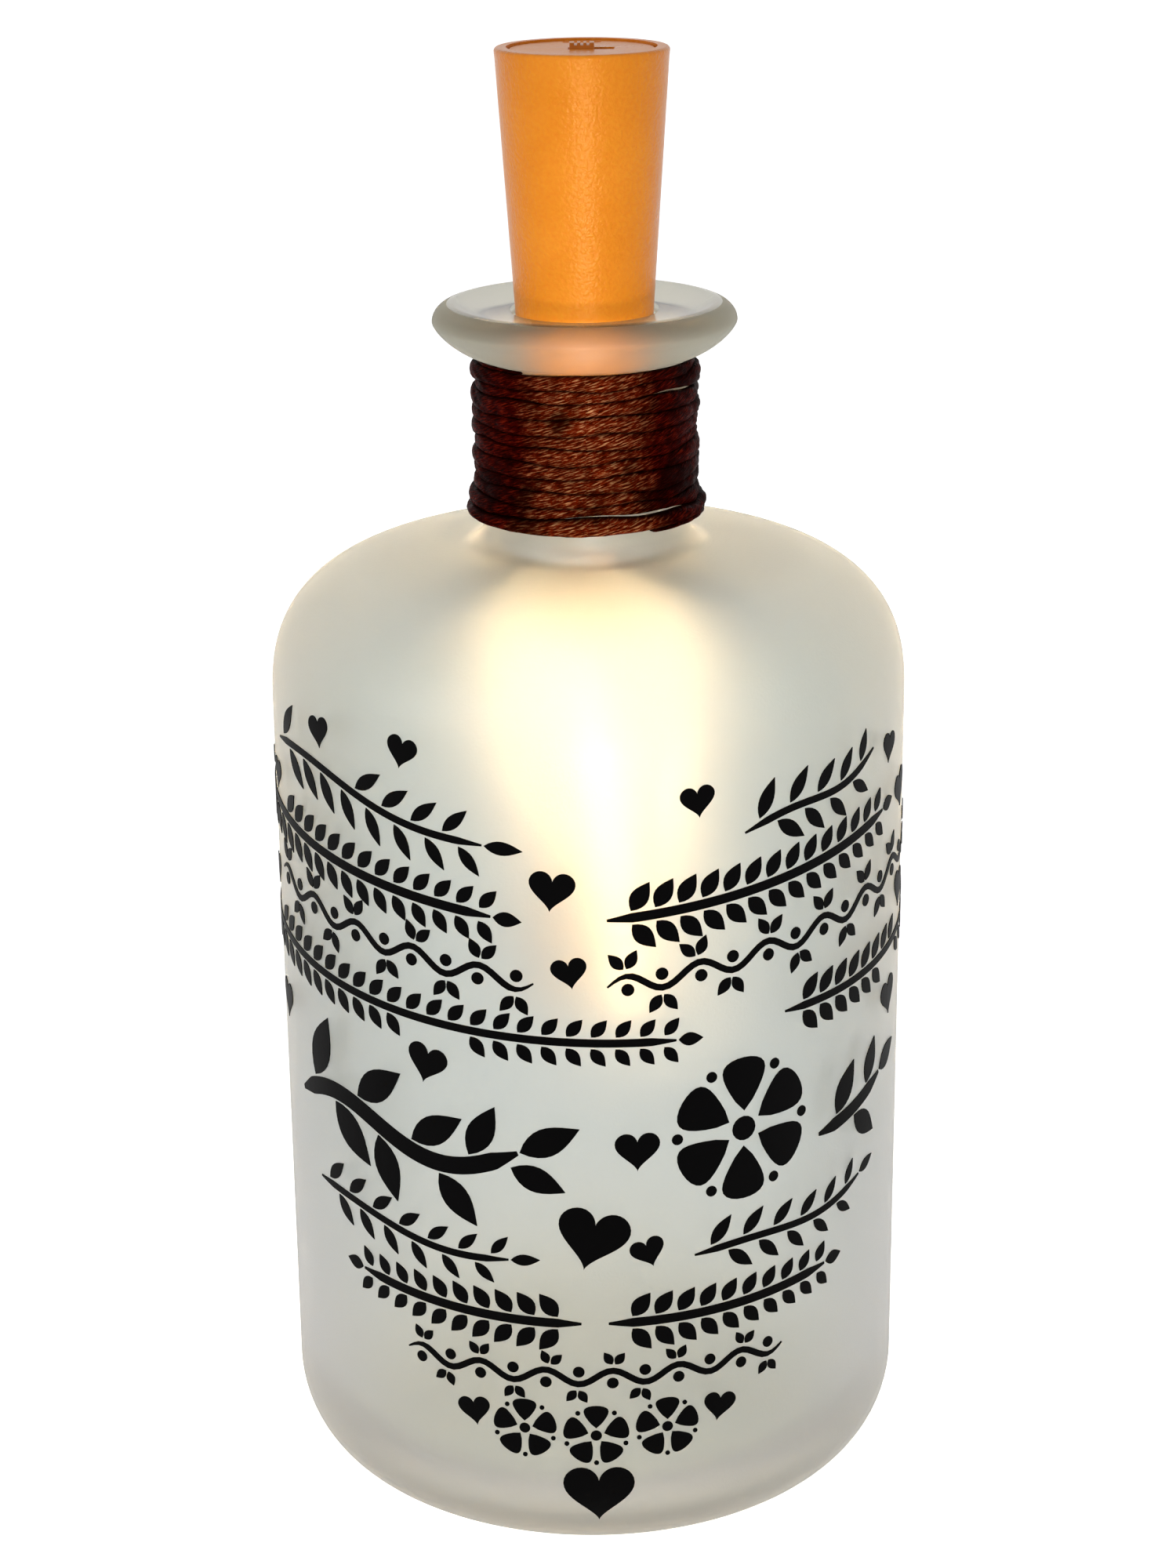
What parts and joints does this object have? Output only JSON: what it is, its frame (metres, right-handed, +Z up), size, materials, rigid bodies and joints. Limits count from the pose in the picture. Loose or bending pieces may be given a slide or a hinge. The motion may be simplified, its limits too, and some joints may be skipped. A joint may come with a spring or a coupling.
{
  "type": "led bottle light",
  "caption": "Frosted apothecary bottle with a cork-shaped battery light in its mouth, an LED string inside, a corded neck and cut vinyl hearts.",
  "frame": {"origin": "centre of the flat ring that the bottle stands on", "axes": "+Z up along the bottle's axis, -Y towards the decorated front, +X to the right seen from the front"},
  "size_m": [0.087, 0.0873, 0.2],
  "materials": {
    "frosted_glass": "satin frosted outside, smooth inside",
    "waxed_cord": "waxed, twisted",
    "black_vinyl": "cut film, satin",
    "orange_plastic": "moulded, fine grain",
    "knob_plastic": "moulded",
    "circuit_board": "solder-mask green",
    "cell_steel": "nickel-plated",
    "contact_brass": "stamped",
    "spring_steel": "plated wire",
    "resistor_coat": "dipped coating",
    "lead_red": "insulated wire",
    "lead_black": "insulated wire",
    "seal_rubber": "matt",
    "copper_enamel": "enamelled copper wire",
    "led_resin": "clear resin over a lit LED"
  },
  "bodies": {
    "bottle": {"glass_bottle": "frosted_glass", "neck_cord": "waxed_cord", "vinyl_heart_01": "black_vinyl", "vinyl_heart_02": "black_vinyl", "vinyl_heart_03": "black_vinyl", "vinyl_heart_04": "black_vinyl", "vinyl_heart_05": "black_vinyl", "vinyl_heart_06": "black_vinyl", "vinyl_heart_07": "black_vinyl", "vinyl_heart_08": "black_vinyl", "vinyl_heart_09": "black_vinyl", "vinyl_heart_10": "black_vinyl", "vinyl_heart_11": "black_vinyl", "vinyl_heart_12": "black_vinyl", "vinyl_heart_13": "black_vinyl", "vinyl_heart_14": "black_vinyl", "vinyl_heart_15": "black_vinyl", "vinyl_heart_16": "black_vinyl", "vinyl_heart_17": "black_vinyl", "vinyl_heart_18": "black_vinyl", "vinyl_heart_19": "black_vinyl"},
    "stopper": {"cork_shell": "orange_plastic", "string_seal": "seal_rubber", "terminal_board": "circuit_board", "centre_pin": "contact_brass", "side_blade": "contact_brass", "series_resistor": "resistor_coat", "lead_red": "lead_red", "lead_black": "lead_black", "light_string": "copper_enamel", "led_bead_01": "led_resin", "led_bead_02": "led_resin", "led_bead_03": "led_resin", "led_bead_04": "led_resin", "led_bead_05": "led_resin", "led_bead_06": "led_resin", "led_bead_07": "led_resin", "led_bead_08": "led_resin", "led_bead_09": "led_resin", "led_bead_10": "led_resin"},
    "carrier": {"battery_carrier": "orange_plastic", "switch_plate": "circuit_board", "top_contact": "contact_brass", "button_cell_1": "cell_steel", "button_cell_2": "cell_steel", "button_cell_3": "cell_steel", "cell_spring": "spring_steel", "floor_rivet": "contact_brass", "return_strip": "contact_brass"},
    "knob": {"switch_knob": "knob_plastic", "switch_wiper": "contact_brass"}
  },
  "joints": [
    {"name": "stopper_pull", "type": "slide", "parent": "bottle", "child": "stopper", "axis": [0, 0, 1], "range_m": [0, 0.115]},
    {"name": "carrier_pull", "type": "slide", "parent": "stopper", "child": "carrier", "axis": [0, 0, 1], "range_m": [0, 0.031]},
    {"name": "switch_slide", "type": "slide", "parent": "carrier", "child": "knob", "axis": [1, 0, 0], "range_m": [0, 0.0025]}
  ]
}
